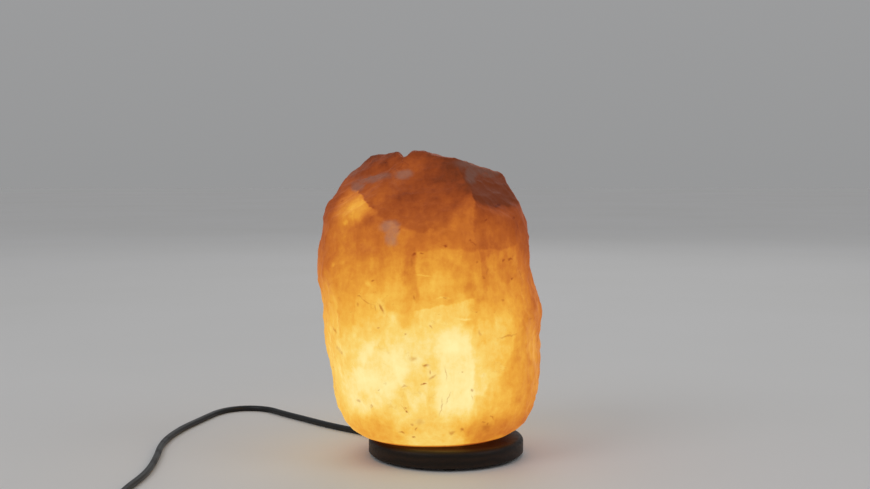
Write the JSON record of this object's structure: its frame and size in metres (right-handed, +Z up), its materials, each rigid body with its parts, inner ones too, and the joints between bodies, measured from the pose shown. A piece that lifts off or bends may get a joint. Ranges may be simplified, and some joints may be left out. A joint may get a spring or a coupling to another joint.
{
  "type": "salt crystal lamp",
  "caption": "Rough rock-salt block lit from inside by a small bulb, on a round wooden base, with a mains lead, in-line rocker switch and two-pin plug.",
  "frame": {"origin": "on the table, below the middle of the crystal's width and depth", "axes": "+Z up, +X to the right of the lamp seen from the front, -Y to the front"},
  "size_m": [0.2912, 0.4264, 0.2255],
  "materials": {
    "salt": "rough translucent rock salt, lit from inside",
    "dark_wood": "dark stained and satin varnished",
    "foot_rubber": "matt",
    "zinc_steel": "zinc plated",
    "spring_steel": "bright spring steel",
    "plug_nylon": "grey nylon",
    "holder_plastic": "moulded",
    "steatite": "unglazed",
    "brass_parts": "stamped",
    "cord_pvc": "smooth flexible sheath",
    "brown_core": "core insulation",
    "blue_core": "core insulation",
    "bulb_aluminium": "rolled shell",
    "solder": "solder button",
    "black_glass": "pressed glass insulator",
    "bulb_clear_glass": "clear, lit",
    "nickel_wire": "fine wire",
    "switch_plastic": "moulded, fine texture",
    "plug_pvc": "moulded on",
    "pin_brass": "nickel plated"
  },
  "bodies": {
    "holder_and_lead": {"cord_in_base": "cord_pvc", "cord_to_switch": "cord_pvc", "cord_from_switch": "cord_pvc", "cord_coil": "cord_pvc", "cord_to_plug": "cord_pvc", "holder_nut": "zinc_steel", "holder_nipple": "zinc_steel", "clip_plate": "zinc_steel", "spring_clip_1": "spring_steel", "spring_clip_2": "spring_steel", "spring_clip_3": "spring_steel", "clip_rivets": "zinc_steel", "holder_cap": "holder_plastic", "holder_barrel": "holder_plastic", "cord_grip": "holder_plastic", "contact_block": "steatite", "threaded_sleeve": "brass_parts", "centre_contact": "brass_parts", "block_rivets": "brass_parts", "live_terminal": "brass_parts", "neutral_terminal": "brass_parts", "terminal_screws": "zinc_steel", "live_core": "brown_core", "neutral_core": "blue_core", "switch_lower_case": "switch_plastic", "switch_upper_case": "switch_plastic", "switch_end_contact": "brass_parts", "switch_middle_contact": "brass_parts", "switch_contact_screws": "zinc_steel", "switch_case_screws": "zinc_steel", "switch_cord_clamps": "switch_plastic", "switch_live_core_in": "brown_core", "switch_live_core_out": "brown_core", "switch_neutral_core": "blue_core", "plug_body": "plug_pvc", "plug_pins": "pin_brass", "plug_pin_sleeves": "plug_pvc", "plug_strain_relief": "plug_pvc"},
    "crystal_and_base": {"salt_crystal": "salt", "wooden_base": "dark_wood", "base_screws": "zinc_steel", "wall_plugs": "plug_nylon", "rubber_foot_1": "foot_rubber", "rubber_foot_2": "foot_rubber", "rubber_foot_3": "foot_rubber", "rubber_foot_4": "foot_rubber"},
    "bulb_foot": {"bulb_tip_contact": "solder", "bulb_cap_insulator": "black_glass"},
    "bulb": {"bulb_cap": "bulb_aluminium", "bulb_glass": "bulb_clear_glass", "bulb_stem": "bulb_clear_glass", "bulb_lead_in_wires": "nickel_wire", "bulb_filament": "nickel_wire"},
    "rocker": {"switch_rocker": "switch_plastic", "switch_bridge": "brass_parts"}
  },
  "joints": [
    {"name": "crystal_lift", "type": "slide", "parent": "holder_and_lead", "child": "crystal_and_base", "axis": [0, 0, 1], "range_m": [0, 0.11]},
    {"name": "bulb_travel", "type": "slide", "parent": "holder_and_lead", "child": "bulb_foot", "axis": [0, 0, 1], "range_m": [0, 0.01411]},
    {"name": "bulb_turn", "type": "hinge", "parent": "bulb_foot", "child": "bulb", "pos_m": [0.0114, 0, 0.06], "axis": [0, 0, 1], "range_deg": [0, 1800]},
    {"name": "rocker_tilt", "type": "hinge", "parent": "holder_and_lead", "child": "rocker", "pos_m": [-0.106, -0.217, 0.0136], "axis": [0, 1, 0], "range_deg": [0, 16]}
  ],
  "couplings": [
    {"joint": "bulb_travel", "follows": "bulb_turn", "m_per_rad": 0.00044913}
  ]
}
